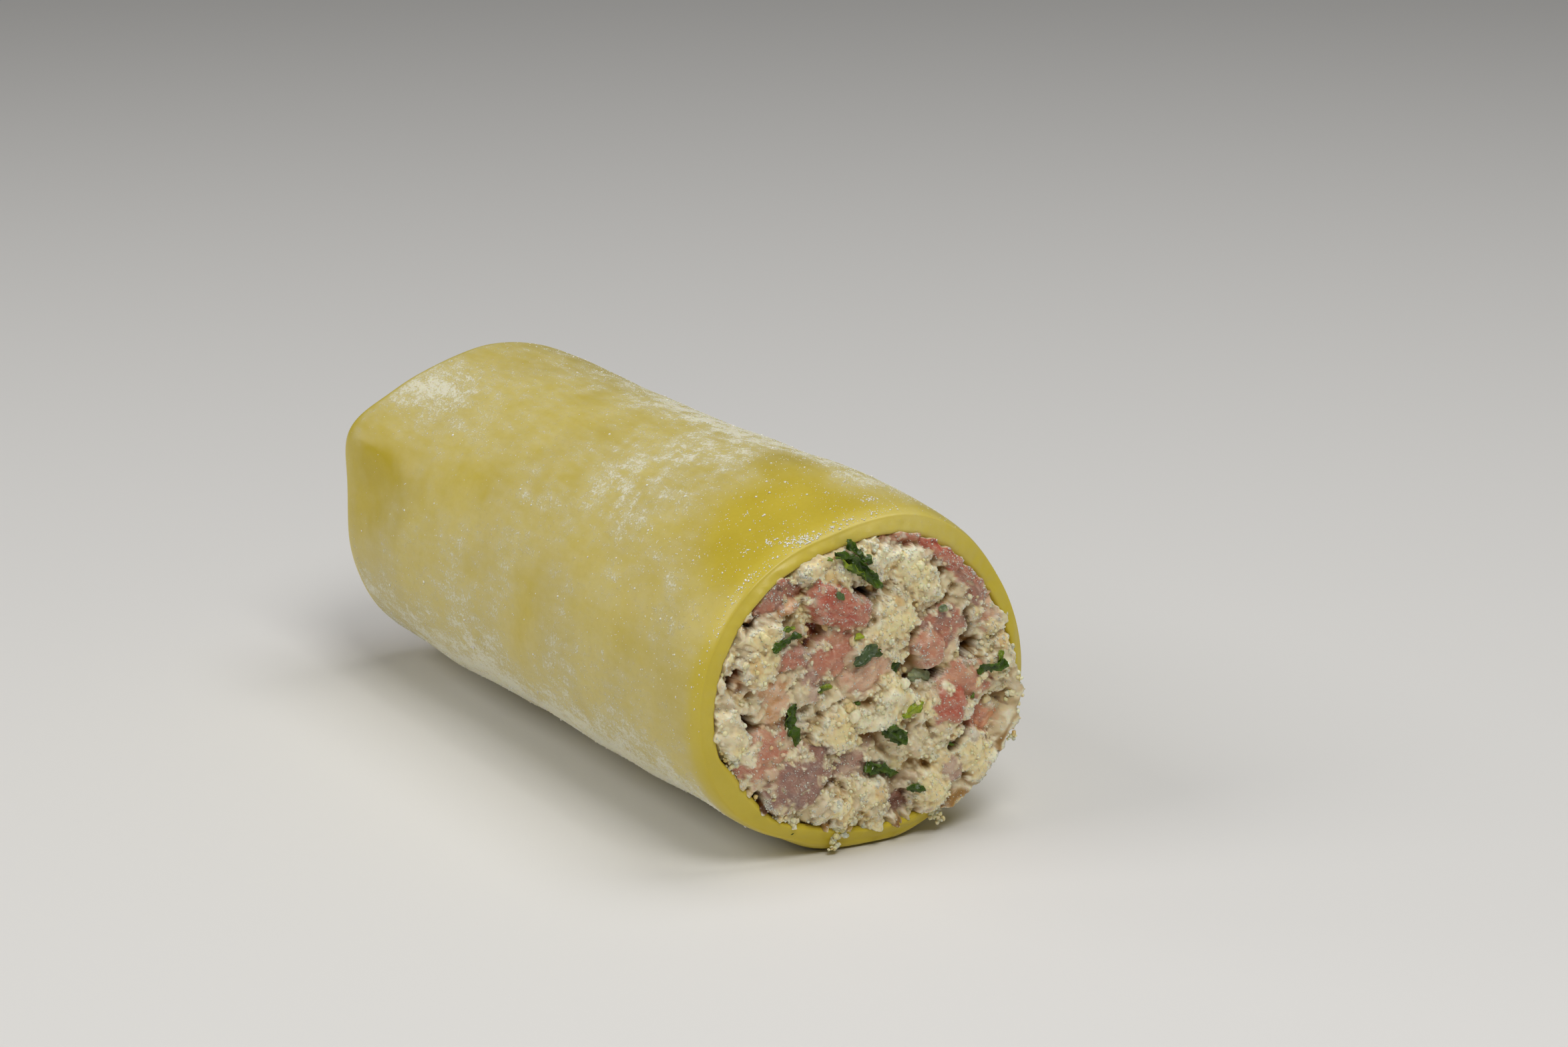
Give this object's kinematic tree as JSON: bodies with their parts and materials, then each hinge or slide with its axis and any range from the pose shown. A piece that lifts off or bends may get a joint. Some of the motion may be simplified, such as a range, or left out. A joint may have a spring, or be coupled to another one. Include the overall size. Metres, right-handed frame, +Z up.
{
  "type": "raw filled cannellone",
  "caption": "Raw egg pasta tube rolled round a minced ham, breadcrumb and parsley filling that shows at both open ends, dusted with flour.",
  "frame": {"origin": "under the middle of the roll, on the surface that it rests on", "axes": "+X along the roll, towards its front cut; +Z up; +Y to the back"},
  "size_m": [0.0688, 0.0318, 0.0295],
  "materials": {
    "pasta": "fresh egg pasta, satin and slightly translucent, with a dusting of white flour",
    "filling": "moist minced ham and cream-coloured crumb with chopped parsley"
  },
  "bodies": {
    "root": {"pasta": "pasta", "filling": "filling"}
  },
  "joints": []
}
